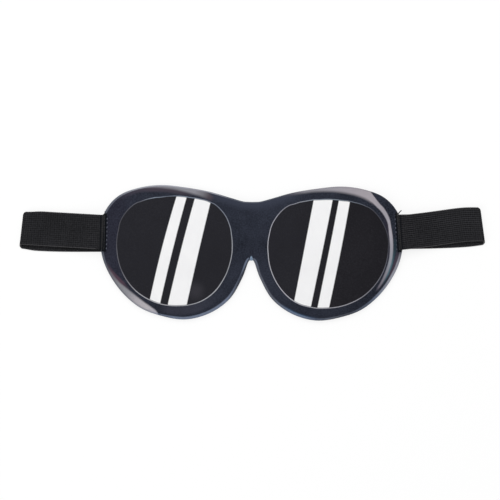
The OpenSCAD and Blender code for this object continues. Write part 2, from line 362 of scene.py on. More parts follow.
def elastic_paint(bench):
    across, along, _ = bench.marked("weave")
    from_hem, past_hem, sewn_end = bench.marked("hem")
    x = bench.parts(bench.here())[0]
    fuzz, patch = bench.grain(1000, 3), bench.grain(75, 3)
    rib = (across / RIB).wave(0.2, 0.4)
    pick = (along / PICK + patch * 1.5).wave(0.2, 0.4)
    # the ribs are painted lighter than the grooves between them: a painted highlight on the rib crowns and
    # painted shade in the grooves. They show best to the right of the middle, less towards the right fold, and in
    # patches
    right = x.rise(-0.06, 0.06)
    firm = mix(0.34, 1.0, right) * mix(1.0, 0.7, x.rise(0.1, 0.12)) * patch.rise(0.25, 0.65)
    light = (mix(0.44, 0.5, right) + (rib - 0.5) * (firm * 0.9 + 0.05) + (pick - 0.5) * 0.2 + (fuzz - 0.5)
             + (patch - 0.5) * 0.5)
    base = bench.tint(light, BLACK_YARN, WORN_AND_LIT_YARN)
    # a painted highlight along both selvages, where the band's rounded edges catch the light; left off the hem
    selvage = across.maths("ABSOLUTE").rise(BAND_W / 2 - 0.75, BAND_W / 2 - 0.3) * (0.25 + fuzz * 0.8)
    base = bench.tint(selvage * (1 - sewn_end), base, SELVAGE_HIGHLIGHT)
    # on the hem: painted shade where the stitching draws it in, a painted highlight on its back, and painted shade
    # again where the end stops under it and at its lower edge
    inner = from_hem + across * HEM_TURN - x.rise(0.01, -0.01) * HEM_AWAY
    base = bench.tint(sewn_end * inner.near(HEM_LIT, 0.35, 0.6) * (0.5 + fuzz * 0.5), base, LIT_HEM)
    lower_edge = across.rise(1 - BAND_W / 2, 0.3 - BAND_W / 2) * past_hem.rise(0.1, -0.5)
    shade = inner.rise(HEM_DARK + 0.25, HEM_DARK - 0.25) + past_hem.near(-0.05, 0.3, 0.6) * 0.9 + lower_edge
    return bench.tint(sewn_end * shade, base, HEM_SHADE), 0.6 + 0.3 * fuzz, pick * 0.7 + fuzz * 0.5, 0.06


elastic = finish("ribbed_elastic", elastic_paint, {"Specular IOR Level": 0.06})


def open_tree(name, **inputs):
    """A Geometry Nodes tree with named inputs. Returns it, each input's identifier, its bench and the inputs."""
    tree = bpy.data.node_groups.new(name, "GeometryNodeTree")
    sockets = {}
    for kind, labels in inputs.items():
        for label in labels:
            made = tree.interface.new_socket(label, in_out="INPUT", socket_type="NodeSocket" + kind)
            sockets[label] = made.identifier
    tree.interface.new_socket("Geometry", in_out="OUTPUT", socket_type="NodeSocketGeometry")
    bench = Bench(tree)
    return tree, sockets, bench, bench.all_of(bench.node("NodeGroupInput"))[:len(sockets)]


def close_tree(bench, geometry, coat):
    """Makes what instances there are real, and gives the mesh its material."""
    real = bench.node("GeometryNodeRealizeInstances", {"Geometry": geometry})
    bench.node("NodeGroupOutput", {0: bench.node("GeometryNodeSetMaterial", {"Geometry": real, "Material": coat})})


def rib_tree():
    """Cuts the grooves between the ribs and the small notches between the weft loops at the selvages."""
    tree, sockets, bench, given = open_tree("woven_ribs", Geometry=["Band"], Material=["Finish"],
                                            Float=["Rib pitch", "Rib depth", "Pick pitch", "Pick depth"])
    band, coat, pitch, depth, pick, pick_depth = given
    weave = bench.node("GeometryNodeInputNamedAttribute", {"Name": "weave"}, data_type="FLOAT_VECTOR")
    across, along, _ = bench.parts(weave)
    off = ((across / pitch).maths("FRACT") - 0.5).maths("ABSOLUTE") * 2
    groove = 1 - (1 - off ** 2).maths("SQRT")
    inside = across.maths("ABSOLUTE").rise(BAND_W / 2 - SELVAGE_OUT, BAND_W / 2 - SELVAGE_IN)
    loops = (along * (2 * pi) / pick).maths("SINE") * 0.5 + 0.5
    cut = groove * depth * inside + loops * pick_depth * (1 - inside)
    normal = bench.node("GeometryNodeInputNormal")
    shift = bench.node("ShaderNodeVectorMath", {0: normal, "Scale": cut * -0.001}, operation="SCALE")
    close_tree(bench, bench.node("GeometryNodeSetPosition", {"Geometry": band, "Offset": shift}), coat)
    return tree, sockets


def grown(piece, tree, sockets, values):
    """The piece as its Geometry Nodes make it, as one plain mesh."""
    work = piece.modifiers.new("made", "NODES")
    work.node_group = tree
    for name, value in values.items():
        work[sockets[name]] = value
    bpy.context.view_layer.update()
    shown = piece.evaluated_get(bpy.context.evaluated_depsgraph_get())
    mesh = bpy.data.meshes.new_from_object(shown)
    piece.modifiers.clear()
    piece.data = mesh
    mesh.name = piece.name
    return piece


ribs, rib_sockets = rib_tree()


def woven(piece, picks=PICK_DEPTH):
    return grown(piece, ribs, rib_sockets, {"Rib pitch": RIB, "Rib depth": RIB_DEPTH, "Pick pitch": PICK,
                                            "Pick depth": picks, "Finish": elastic})


stops = ([fold_stop(-1, a) for a in np.arange(0, -90, -FOLD_STEP)] + [back_stop(f) for f in np.linspace(-1, 1, 231)]
         + [fold_stop(1, a) for a in np.arange(FOLD_STEP - 90, 1, FOLD_STEP)])
points, weave = band_points(stops, 121)
back_run = woven(net("elastic_back_run", points, marks={"weave": weave}), 0.0)
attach(back_run, "strap")
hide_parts("strap_back")


# ---- Lining ------------------------------------------------------------
# Thin brushed black knit against the face. It lies on the table and drapes over the back run of the elastic; its
# edge is turned in along the seam and rolls under close to the rim.
MASK_W, MASK_H = 185, 82
BROW_DIP, NOTCH_H, TEMPLE_RISE = 9.9, 36.2, 9
# Stations across one half: share of the half width, then how far the upper edge is below the brow, as a share of
# the brow's dip and of the drop to the temple, and how far the lower edge is above the lowest point, as a share of
# the notch and of the climb to the temple
STATIONS = [(0, 1, 0, 1, 0), (0.02, 0.995, 0, 0.975, 0), (0.06, 0.965, 0, 0.7, 0), (0.14, 0.755, 0, 0.354, 0),
            (0.27, 0.407, 0, 0.111, 0), (0.43, 0.145, 0, 0, 0), (0.595, 0, 0, 0, 0.043),
            (0.747, 0, 0.057, 0, 0.156), (0.882, 0, 0.218, 0, 0.391), (0.972, 0, 0.541, 0, 0.689), (1, 0, 1, 0, 1)]
OUTLINE_STEPS = 8
LINING_T, FRONT_T, FOAM_T, LAYER_GAP = 0.5, 0.6, 4.0, 0.1
RIM_W, TURN_IN = 3.4, 4.5  # widths of the rounded rim and of the turned-in edge
TUCK, CROWN = 0.9, 1.0  # the seam tucks in by this, and the front rises over its rim by this
PRESS = 1.6  # the temple stitching presses the pad down by this
PRESS_FROM, PRESS_REACH = 15, 10  # pressing starts this far in from the hem and takes this far to be full
PRESS_PAST = 0.5  # and is full this far past the ends of the hem
HEM_W, STITCH = 23.4, 2.6  # width of the hem, and length of one stitch
RISE = BAND_T + 0.3  # the pad rises over the back run by this
RISE_PAST, RISE_REACH = 2.8, 16  # it rises fully this far past the band's selvages, and falls over this far
LINING_IN, LINING_ROLL = 0.75, 0.95  # how far its rolled edge lies inside the outline, and the roll's width
MIDDLE_SHARE = 0.75  # length of the middle line, as a share of the mask's width
TURN_LOW = 2 * LINING_T + LAYER_GAP
TURN_TOP = TURN_LOW + FRONT_T
FOAM_LOW = LINING_T + LAYER_GAP
FRONT_LOW = FOAM_LOW + FOAM_T + LAYER_GAP
FRONT_TOP = FRONT_LOW + FRONT_T
BELLY_Z = mix(TURN_LOW, FRONT_TOP, 0.3)  # height of the rim's widest line


def outline_points():
    """The mask's outline, anticlockwise from the right temple, as one smooth closed curve through its stations."""
    def upper(k, side):
        return [side * k[0] * MASK_W / 2, MASK_H / 2 - k[1] * BROW_DIP - k[2] * (MASK_H / 2 - TEMPLE_RISE)]

    def lower(k, side):
        return [side * k[0] * MASK_W / 2, -MASK_H / 2 + k[3] * NOTCH_H + k[4] * (MASK_H / 2 + TEMPLE_RISE)]

    b = np.array([upper(k, 1) for k in STATIONS[::-1]] + [upper(k, -1) for k in STATIONS[1:]]
                 + [lower(k, -1) for k in STATIONS[-2::-1]] + [lower(k, 1) for k in STATIONS[1:-1]])
    a, c, d = np.roll(b, 1, 0), np.roll(b, -1, 0), np.roll(b, -2, 0)
    t = (np.arange(OUTLINE_STEPS) / OUTLINE_STEPS)[None, :, None]
    a, b, c, d = (v[:, None, :] for v in (a, b, c, d))
    return (b + t * (c - a) / 2 + t ** 2 * (a - 2.5 * b + 2 * c - d / 2)
            + t ** 3 * (1.5 * (b - c) + (d - a) / 2)).reshape(-1, 2)


OUTLINE = outline_points()
AROUND = len(OUTLINE)
run = np.roll(OUTLINE, -1, 0) - np.roll(OUTLINE, 1, 0)
run /= np.linalg.norm(run, axis=1)[:, None]
INWARD = np.stack([-run[:, 1], run[:, 0]], 1)
OTHER = -np.arange(AROUND) % AROUND  # the point below or above each point
MIDDLE = (OUTLINE + OUTLINE[OTHER]) / 2 * [MIDDLE_SHARE, 1]


def lifted(p):
    """How far the strap under the pad lifts it."""
    off = np.abs(p[..., 1] - back_height(p[..., 0])) - BAND_W / 2
    return RISE * ease(1 - (off - RISE_PAST) / RISE_REACH)


def pressed(p):
    """How far the temple stitching presses the pad down."""
    x, y = p[..., 0], p[..., 1]
    across = (np.abs(x) - by_side(x, HEM_X) + PRESS_FROM) / PRESS_REACH
    off = np.abs(y - by_side(x, HEM_Y)) - HEM_W / 2
    return PRESS * ease(across) * ease(1 - (off - PRESS_PAST) / PRESS_REACH)


def ring(inset, share, z, press=0.0):
    """One ring of the pad: its distance in from the edge, its share of the way on to the middle line, its height,
    and the share of the pressing that reaches it."""
    p = mix(OUTLINE + INWARD * inset, MIDDLE, share)
    return np.column_stack([p, z + lifted(p) - pressed(p) * press])


def level(share, z):
    """A ring of a flat layer, at one share of the way to the middle line."""
    return ring(TURN_IN + 1, share, z)


def rim(degrees, inset, low, high):
    """A ring of the rounded rim: -90 is its seam, 0 its widest line and 90 the start of the flat front."""
    c, s = cos(radians(degrees)), sin(radians(degrees))
    if s < 0:
        return ring(inset + TUCK * (1 - c), 0, BELLY_Z + (BELLY_Z - low) * s)
    return ring(inset + (RIM_W - inset) * (1 - c), 0, BELLY_Z + (high - BELLY_Z) * s, s)


def shut(rows, ends=(0, -1)):
    """Numbers the points of a stack of rings whose end rings lie folded on the middle line."""
    index = np.arange(rows * AROUND).reshape(rows, AROUND)
    for row in ends:
        index[row] = index[row][np.minimum(np.arange(AROUND), OTHER)]
    return index


def skin(name, rings, marks=None):
    """A closed layer of the pad through its rings, from one middle line round to the other."""
    return net(name, np.array(rings), order=shut(len(rings)), caps=False, marks=marks)


def lining_paint(bench):
    nap, drift = bench.grain(1600, 4), bench.grain(70, 3)
    colour = bench.tint(nap * 0.5 + drift * 0.4, "#0e0e10", "#2a2a2d")
    return colour, 0.8 + 0.15 * nap, nap + drift * 0.4, 0.12


SHARES = np.linspace(0.05, 1, 20)
lining = skin("lining", [level(s, LINING_T) for s in SHARES[::-1]]
              + [ring(TURN_IN + 0.5, 0, LINING_T), ring(TURN_IN, 0, 2 * LINING_T)]
              + [ring(LINING_IN + LINING_ROLL * (1 - cos(a)), 0, LINING_T * (1 + sin(a)))
                 for a in np.radians(np.arange(90, -91, -22.5))]
              + [level(s, 0) for s in SHARES])
brushed = finish("brushed_lining", lining_paint, {"Sheen Weight": 0.1, "Specular IOR Level": 0.15})
lining.data.materials.append(brushed)
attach(lining, "mask")
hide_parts("back_cover")


# ---- Printed front cloth -----------------------------------------------
# Smooth polyester knit, printed dark navy with two near-black lenses, drawn over the foam and turned in along the
# seam. Its middle swells under the pressure of the foam and is held at the rim and under the temple stitching.
HEM_LEAN = {-1: 1.0, 1: 3.9}  # lean of each hem's inner edge
HELD_IN = 4  # the stitching holds the cloth from this far in from the hem
CLOTH = {"quality": 6, "mass": 0.2, "air_damping": 3, "tension_stiffness": 8, "compression_stiffness": 8,
         "shear_stiffness": 2, "bending_stiffness": 0.02, "vertex_group_mass": "held", "use_pressure": True,
         "uniform_pressure_force": 4, "shrink_min": -0.006}
CLOTH_FRAMES = 20
LEAST_CROWN, BLOWN = 0.15, 0.95  # rise of the plain crown, and the full rise that the simulation adds
SWELL_TOP = 1.25  # the most of both
DOME = np.linspace(0, 1, 25)
SWELL = {}


def blown(start):
    """The front as cloth: held along its rim, it swells over the foam. Returns how far each point rises."""
    order = shut(len(start), (-1,))
    sheet = net("front_trial", start, order=order, caps=False)
    _, place = np.unique(order, return_inverse=True)
    x, y, _ = start.reshape(-1, 3).T
    under_hem = (np.abs(x) > HEM_X[-1] - HELD_IN) & (np.abs(y - by_side(x, HEM_Y)) < HEM_W / 2)
    rows = np.repeat(np.arange(len(start)), AROUND)
    held = np.unique(place[(rows <= 1) | under_hem])
    sheet.vertex_groups.new(name="held").add(held.tolist(), 1.0, "REPLACE")
    cloth = sheet.modifiers.new("cloth", "CLOTH")
    for name, value in CLOTH.items():
        setattr(cloth.settings, name, value)
    cloth.settings.effector_weights.gravity = 0
    cloth.collision_settings.use_collision = False
    cloth.point_cache.frame_start, cloth.point_cache.frame_end = 1, CLOTH_FRAMES
    for step in range(CLOTH_FRAMES):
        scene.frame_set(step + 1)
    shown = sheet.evaluated_get(bpy.context.evaluated_depsgraph_get())
    after = np.array([v.co for v in shown.data.vertices]) * 1000
    scene.frame_set(1)
    bpy.data.objects.remove(sheet)
    return after[place].reshape(start.shape) - start


def vault(share):
    """Rise of a plain crown from 0 at its rim to 1 at the middle line."""
    return 1 - (1 - share) ** 2


def swell(share):
    """Rise of the front at one share of the way to its middle line, as the cloth simulation found it."""
    return SWELL[round(float(share), 4)] if SWELL else np.full(AROUND, CROWN * vault(share))


flat_front = np.array([rim(a, 0, TURN_LOW, FRONT_TOP) for a in (60, 75)]
                      + [ring(RIM_W, s, FRONT_TOP + LEAST_CROWN * vault(s), 1) for s in DOME])
moved = np.clip(blown(flat_front)[2:, :, 2], 0, None)
rise = LEAST_CROWN * vault(DOME)[:, None] + moved * (BLOWN / np.percentile(moved, 98))
for s, row in zip(DOME, np.clip(rise, 0, SWELL_TOP)):
    SWELL[round(float(s), 4)] = row


def front(share, z):
    """A ring of the swollen front."""
    p = ring(RIM_W, share, z, 1)
    p[:, 2] += swell(share)
    return p


def edge_distance(p):
    """Distance from each place to the outline."""
    return np.min(np.linalg.norm(p[:, None, :2] - OUTLINE[None], axis=2), axis=1)


outer = ([front(s, FRONT_TOP) for s in DOME[::-1]]
         + [rim(a, 0, TURN_LOW, FRONT_TOP) for a in np.arange(81, -91, -9)]
         + [ring(inset, 0, TURN_LOW) for inset in (2.0, 3.2, TURN_IN - 0.15)])
inner = ([ring(inset, 0, TURN_TOP) for inset in (TURN_IN - 0.15, 3.2)]
         + [rim(a, FRONT_T, TURN_TOP, FRONT_LOW) for a in np.arange(-90, 82, 18)]
         + [front(s, FRONT_LOW) for s in DOME])
rings = outer + [ring(TURN_IN, 0, (TURN_LOW + TURN_TOP) / 2)] + inner
# Where each point lies on the print: its place, and its distance in from the edge. Below its widest line the rim
# carries on outwards.
WIDEST, BACK_UP = len(DOME) + 9, len(rings) - len(DOME) - 6
print_at = []
for k, row in enumerate(rings):
    place, edge = row[:, :2], edge_distance(row)
    if WIDEST < k < BACK_UP:
        below = min(k - WIDEST, 12) * 0.25
        place, edge = OUTLINE - INWARD * below, np.full(AROUND, -below)
    print_at.append(np.column_stack([place, edge]))
front_cloth = skin("printed_front", rings, marks={"print": np.array(print_at)})


# Colours of the print, as they look under plain light
NAVY, DEEP_NAVY, BROW_NAVY, PLUM = "#383c49", "#171a22", "#363a47", "#272330"
LENS_BLACK, LENS_DEEP, LENS_DUST, LENS_HAZE = "#232328", "#1c1b1f", "#343439", "#36353b"
STRIPE_WHITE, STRIPE_DULL, SPECK_PALE = "#eeeeee", "#e8e8ea", "#969aac"
BLUE, GREY, PALE, ICE = "#7b869c", "#636772", "#a3a5af", "#8fa4bd"

# The print's shapes are drawn round the middle of each lens: angles in degrees, radii in millimetres
LEFT_EYE, RIGHT_EYE = (-46.85, 0.65), (47.15, -0.5)
LEFT_LENS = (
    (-180, 35.1), (-160, 34.3), (-135, 33.8), (-112, 33.3), (-92, 33.3), (-75, 33.9), (-50, 34.7), (-25, 34.4),
    (0, 35.1), (14, 35.95), (28, 37.3), (42, 37.9), (54, 37), (68, 34.9), (82, 33.75), (97, 33.65), (110, 34.7),
    (124, 36.45), (141, 37.9), (160, 36.5), (180, 35.1))
RIGHT_LENS = (
    (-180, 36.9), (-150, 36.1), (-130, 35.7), (-104, 33.7), (-76, 32.5), (-48, 33.15), (-20, 34.6), (4, 36.3),
    (26, 38), (40, 38.1), (54, 36.85), (70, 34.65), (88, 33.55), (106, 34.5), (124, 37), (144, 39.15), (162, 38.2),
    (180, 36.9))
# Colour of each ring round its lens, and how clearly it shows
LEFT_RING = (
    (-180, "#8c8c94", 0.4), (-160, "#8c8c94", 0.4), (-145, "#a4a4aa", 0.65), (-126, "#b0b0b6", 0.9),
    (-102, "#b0b0b6", 0.9), (-75, "#a6a8ae", 0.8), (-42, "#b4b6bc", 0.95), (-20, "#a6a8ae", 0.8),
    (5, "#a9abb2", 0.85), (30, "#9aa0ac", 0.65), (48, "#8f98a8", 0.5), (60, "#8f98a8", 0.6), (80, "#9aa8ba", 0.65),
    (98, "#8a93a4", 0.4), (112, "#9aa6b6", 0.7), (124, "#8a8c96", 0.4), (145, "#7c7c84", 0.3),
    (172, "#7c7c84", 0.32), (180, "#8c8c94", 0.4))
RIGHT_RING = (
    (-180, "#b4b4bc", 0.9), (-150, "#b4b4bc", 0.85), (-130, "#babac2", 0.95), (-104, "#acacb4", 0.85),
    (-60, "#a8a8b0", 0.8), (-42, "#a0a0aa", 0.55), (-20, "#9696a0", 0.45), (-4, "#8a8a96", 0.3),
    (6, "#74747e", 0.25), (45, "#74747e", 0.26), (60, "#8e96a4", 0.4), (80, "#9aa6b4", 0.6), (100, "#9aa6b4", 0.6),
    (116, "#a2a6b0", 0.7), (133, "#a2a2ac", 0.6), (150, "#aeaeb8", 0.8), (180, "#b4b4bc", 0.9))
HAZE_AT, HAZE_R = (-34.0, -23.5), 8  # a faint light patch low on the left lens, beside its wide stripe
# Edges of the two stripes on each lens: place on the line through the middle, lean and bend
LEFT_STRIPES = (((-55.05, 0.246, 0.0007), (-48.25, 0.24, 0.0004)), ((-43.2, 0.245, 0.0004), (-32.2, 0.224, 0.0002)))
RIGHT_STRIPES = (((31.75, 0.183, 0), (42.95, 0.195, -0.0001)), ((47, 0.19, -0.0001), (54.1, 0.187, -0.0003)))
WALE, COURSE = 0.38, 0.3  # pitches of the knit
# Curved reflections on the frame, round each eye: the softness of the inner and outer edge, the inner and outer
# radius at each angle, and the colour and strength at each angle. Without an outer radius it runs off the cloth.
BEYOND = 60
LEFT_GLEAMS = (
    # along the brow, over a reddish shade
    (2.4, 1.6, ((70, 35.2), (84, 34.9), (98, 36.4), (110, 38.6), (122, 42), (140, 45.6)),
     ((70, "#443e47", 0), (82, "#463f48", 0.7), (110, "#433c46", 0.85), (128, "#3f3b46", 0.7),
      (140, "#3a3844", 0))),
    (2.2, 1.3,
     ((53, 37.9, 40.6), (60, 37.4, 41), (66, 37, 40.6), (73, 36.7, 40.1), (80, 36.8, 40), (90, 37.7, 41.2),
      (98, 38.8, 43.6), (108, 40.9), (118, 43.4), (128, 46), (142, 48.4)),
     ((53, "#5a4a50", 0), (58, "#574d52", 0.6), (64, "#747379", 0.9), (72, "#85848b", 1), (84, "#83848b", 1),
      (98, "#85848c", 0.95), (114, "#8c8b95", 0.9), (128, "#7d7c88", 0.8), (142, "#5e5d69", 0))),
    # low on the outer side, over a reddish shade
    (1.6, 1.0, ((-172, 41.8), (-160, 38.9), (-152, 36.9), (-143, 35.8), (-136, 36)),
     ((-172, "#4a3f4a", 0), (-160, "#54414c", 0.8), (-148, "#523f4b", 0.8), (-136, "#45404a", 0))),
    (1.5, 1.0,
     ((-170, 42), (-158, 40.1), (-150, 38.6), (-140, 36.7), (-130, 36), (-119, 36.3), (-110, 37.3), (-106, 38.5),
      (-103.5, 40.6), (-102.5, 42)),
     ((-170, "#5c565c", 0), (-160, "#747076", 0.8), (-148, "#808186", 1), (-138, "#88888e", 1),
      (-128, "#a39fa5", 1), (-116, "#b1adb1", 1), (-105, "#a7a5b0", 1), (-102.5, "#898b98", 1))),
    # a faint one along the lower frame
    (1.5, 2.2, ((-108, 34, 37.6), (-90, 34, 38.6), (-64, 34.4, 39.6), (-36, 34.6, 39)),
     ((-108, "#403f4a", 0), (-95, "#42414c", 0.35), (-66, "#42424d", 0.35), (-36, "#3c3f4b", 0))),
)
RIGHT_GLEAMS = (
    # a teal and a reddish patch between the two reflections at the temple
    (1.4, 1.2, ((-10, 38.3, 39.4), (0, 38.9, 41), (9, 39.8, 42), (16, 41, 43)),
     ((-10, "#2b3b44", 0), (0, "#2b3a43", 0.6), (11, "#2b3a43", 0.6), (16, "#2c3842", 0))),
    (1.2, 1.2, ((-26, 38.6, 40.3), (-14, 38.9, 41.3), (-2, 40.6, 43), (6, 41.6, 43.6)),
     ((-26, "#42404d", 0), (-16, "#443b46", 0.8), (-2, "#433b47", 0.8), (6, "#3f3a45", 0))),
    # purple and teal along the two sides of the narrow reflection
    (1.2, 1.2, ((-30, 35.3, 36.3), (0, 36.7, 37.8), (25, 38.5, 40.2), (42, 39, 41.2)),
     ((-30, "#2f2b3a", 0), (0, "#302a36", 0.7), (25, "#2e2935", 0.8), (42, "#2b2b36", 0))),
    (0.8, 1.2, ((-30, 37.1, 37.8), (-16, 37.7, 38.6), (-4, 38.6, 39.7), (8, 39.6, 40.5)),
     ((-30, "#4a6670", 0), (-18, "#557480", 0.8), (-8, "#4f6c76", 0.8), (8, "#3a525c", 0))),
    # a blue patch low on the inner side
    (1.2, 1.0, ((-134, 41.4, 43), (-122, 40.8, 42.4), (-110, 39.9, 41.4), (-98, 38.8, 40.1)),
     ((-134, "#31455c", 0), (-123, "#375370", 0.8), (-112, "#375370", 0.8), (-98, "#31405a", 0))),
    # low along the outer rim
    (1.0, 0.8,
     ((-46, 39.3), (-34, 39.4), (-26, 39.6), (-19, 39.9), (-12, 40.9), (-7, 41.7), (2, 43.3), (12, 44.6)),
     ((-46, "#4f5b75", 0), (-34, "#666d7d", 0.8), (-24, "#7d7e8a", 0.95), (-16, "#93929d", 1), (-7, "#aaa8b1", 1),
      (1, "#8d8a92", 0.9), (12, "#6b6974", 0))),
    # from under the lens out and up, then broad along the brow
    (0.9, 0.9,
     ((-38, 36, 36.9), (-28, 35.9, 37.2), (-16, 36.1, 37.8), (-4, 36.9, 38.7), (8, 37.7, 39.6), (16, 38.4, 40.4),
      (24, 39.8, 41.5), (31, 41, 43), (40, 41.3, 43.8), (46, 41.1, 43.8), (52, 41.4, 44.6), (57, 41.5, 46.4),
      (62, 41.6)),
     ((-38, "#5b5866", 0), (-32, "#736e78", 0.8), (-18, "#7f7e87", 1), (-8, "#878b94", 1), (4, "#93929b", 1),
      (20, "#a7a3ab", 1), (34, "#9a979f", 1), (52, "#9f999f", 1), (62, "#9c969c", 0))),
    (2.6, 0.9,
     ((46, 41.3, 43.8), (52, 41, 44.6), (57, 40.6, 46.4), (66, 39.7), (76, 38.8), (86, 38.5), (96, 38.7),
      (106, 39.6), (114, 40.8), (126, 43.8)),
     ((46, "#a09ba2", 0), (52, "#9f999f", 1), (62, "#9c969c", 1), (74, "#99949b", 1), (86, "#949198", 1),
      (100, "#908e95", 1), (112, "#8e8c93", 1), (120, "#6e6b73", 0.75), (126, "#5c5a63", 0.3),
      (132, "#55535d", 0))),
)
# Along the rim the cloth's pale ground shows, with a painted highlight on the rounded rim: its colour and strength,
# and the depth where it is half gone, by the angle round the middle of the mask
RIM_LIGHT = (
    (-180, GREY, 0.7), (-160, GREY, 0.5), (-148, BLUE, 0.45), (-140, BLUE, 0.75), (-128, BLUE, 0.85),
    (-116, BLUE, 0.85), (-113, GREY, 0.4), (-108, GREY, 0.35), (-103, ICE, 0.7), (-90, ICE, 0.95), (-77, ICE, 0.7),
    (-71.5, GREY, 0.8), (-64, GREY, 0.8), (-57, BLUE, 0.6), (-50, BLUE, 0.65), (-45, BLUE, 0.35), (-38, GREY, 0.75),
    (-32, GREY, 0.45), (-20, BLUE, 0.6), (-10, PALE, 0.75), (0, GREY, 0.6), (16, GREY, 0.1), (52, GREY, 0.2),
    (75, GREY, 0.5), (112, GREY, 0.7), (122, PALE, 0.8), (134, PALE, 0.5), (140, PALE, 1), (150, PALE, 0.8),
    (158, GREY, 0.9), (168, GREY, 0.6), (180, GREY, 0.7))
RIM_DEPTH = (
    (-180, 1.5), (-150, 1), (-140, 1.5), (-116, 1.7), (-112, 0.9), (-108, 1.2), (-103, 2.1), (-90, 2.5), (-76, 2.1),
    (-71.5, 1.3), (-56, 1.5), (-35, 1.3), (-15, 1.6), (15, 0.8), (60, 0.7), (118, 0.8), (138, 0.7), (150, 0.8),
    (158, 1.2), (180, 1.5))


def print_paint(bench):
    x, y, edge = bench.marked("print")
    aside = x.maths("ABSOLUTE")
    cloud, drift, speck = bench.grain(120, 3), bench.grain(26, 1), bench.grain(1300, 1)

    def polar(cx, cy):
        """Distance and angle round a place on the mask."""
        dx, dy = x - cx, y - cy
        return (dx * dx + dy * dy).maths("SQRT"), dy.maths("ARCTAN2", dx) * (180 / pi)

    def within(sides):
        """1 between the two edges of a stripe."""
        left, right = (x - (y * lean + y * y * bend + at) for at, lean, bend in sides)
        return left.rise(-0.3, 0.3) * right.rise(0.3, -0.3)

    # the navy ground: darker low on the right, worn at the temples, cooler at the brow, reddish at the left temple
    worn = 0.8 + 0.7 * aside.rise(60, 80)
    pale = (0.4 - x.rise(20, 60) * y.rise(0, -20) * 0.17 + (cloud - 0.5) * 0.5 + (drift - 0.5) * 0.6
            + (speck - 0.5) * worn)
    base = bench.tint(pale, DEEP_NAVY, NAVY)
    base = bench.tint(edge.rise(7, 1.5) * aside.rise(34, 20) * y.rise(18, 26) * 0.9, base, BROW_NAVY)
    base = bench.tint(x.rise(-64, -84) * 0.35, base, PLUM)
    for centre, gleams in ((LEFT_EYE, LEFT_GLEAMS), (RIGHT_EYE, RIGHT_GLEAMS)):
        radius, angle = polar(*centre)
        for soft_in, soft_out, knots, stops in gleams:
            inner = radius - bench.profile(angle, [k[:2] for k in knots])
            outer = bench.profile(angle, [(k[0], (*k, BEYOND)[2]) for k in knots]) - radius
            shade, strength = bench.shades(angle, stops)
            lit = inner.rise(-soft_in / 2, soft_in / 2) * outer.rise(-soft_out / 2, soft_out / 2)
            base = bench.tint(lit * strength, base, shade)

    # a pale line along the rim: the cloth's pale ground and a painted highlight on the rounded rim
    _, angle = polar(0, 0)
    shade, strength = bench.shades(angle, RIM_LIGHT)
    pale = (edge / bench.profile(angle, RIM_DEPTH)).rise(1.3, 0.75) * strength * (0.6 + 0.4 * cloud + 0.4 * speck)
    base = bench.tint(pale, base, shade)
    # between the stitches at each temple the cloth puckers and shows its pale ground
    for side, clear in ((-1, 0.6), (1, 0.4)):
        lean = radians(HEM_LEAN[side])
        dx, dy = (x - side * HEM_X[side]) * side, y - HEM_Y[side]
        away, along = dx * cos(lean) + dy * sin(lean), dy * cos(lean) - dx * sin(lean)
        gap = (along / STITCH + 0.25).wave(0.18, 0.3) * along.near(0, HEM_W / 2 - 1, 1) * away.near(-0.15, 0.3, 0.4)
        base = bench.tint(gap * (cloud.rise(0.3, 0.6) * 0.6 + 0.3 * speck) * clear, base, SPECK_PALE)

    depth = x.rise(20, 58) * 0.8 + cloud.rise(0.3, 0.8) * 0.2
    dust = (speck - 0.45) * 0.8 + (drift - 0.5) * 0.3
    glass = bench.tint(dust, bench.tint(depth, LENS_BLACK, LENS_DEEP), LENS_DUST)
    glass = bench.tint(polar(*HAZE_AT)[0].rise(HAZE_R, 1) * 0.75, glass, LENS_HAZE)
    chalk = bench.tint(cloud, STRIPE_WHITE, STRIPE_DULL)
    for centre, outline, ring_look, stripes in ((LEFT_EYE, LEFT_LENS, LEFT_RING, LEFT_STRIPES),
                                                (RIGHT_EYE, RIGHT_LENS, RIGHT_RING, RIGHT_STRIPES)):
        radius, angle = polar(*centre)
        outside = radius - bench.profile(angle, outline)
        shade, strength = bench.shades(angle, ring_look)
        base = bench.tint(outside.rise(0.3, -0.2), base, glass)
        base = bench.tint((within(stripes[0]) + within(stripes[1])) * outside.rise(-0.1, -0.7), base, chalk)
        base = bench.tint(outside.near(0.0, 0.23, 0.36) * strength, base, shade)

    wale = (x * (2 * pi / WALE)).maths("SINE") * (y * (2 * pi / COURSE)).maths("SINE")
    fuzz = bench.grain(1500, 2)
    return base, 0.7 + 0.16 * fuzz, wale * 0.3 + fuzz * 0.6 + cloud * 0.5, 0.05


front_cloth.data.materials.append(finish("printed_knit", print_paint, {"Specular IOR Level": 0.05}))
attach(front_cloth, "mask")
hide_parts("front_cover")


# ---- Foam --------------------------------------------------------------
# One sheet of soft open-cell foam, cut to the outline less the cloth's thickness. It fills the front cloth, steps
# up over the turned-in edges and lies on the lining.
INSET = FRONT_T + LAYER_GAP
FOAM_TOP = FOAM_LOW + FOAM_T - 0.15  # a further gap, so that the swollen front keeps off the foam


def foam_paint(bench):
    cells = bench.node("ShaderNodeTexVoronoi", {"Vector": bench.here(), "Scale": 1400.0})
    drift = bench.grain(90, 2)
    return bench.tint(cells * 0.6 + drift * 0.3, "#dcdcd6", "#c2c1b8"), 0.85 + 0.1 * drift, cells, 0.3


foam = skin("foam", [front(s, FOAM_TOP) for s in DOME[::-1]]
            + [rim(a, INSET, TURN_TOP, FOAM_TOP) for a in np.arange(75, -1, -15)]
            + [ring(inset, 0, TURN_TOP + LAYER_GAP) for inset in (TUCK + FRONT_T + 0.9, TURN_IN + LAYER_GAP)]
            + [ring(TURN_IN + 0.5, 0, FOAM_LOW)] + [level(s, FOAM_LOW) for s in SHARES])
foam.data.materials.append(finish("soft_foam", foam_paint, {"Specular IOR Level": 0.2}))
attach(foam, "mask")
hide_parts("padding")


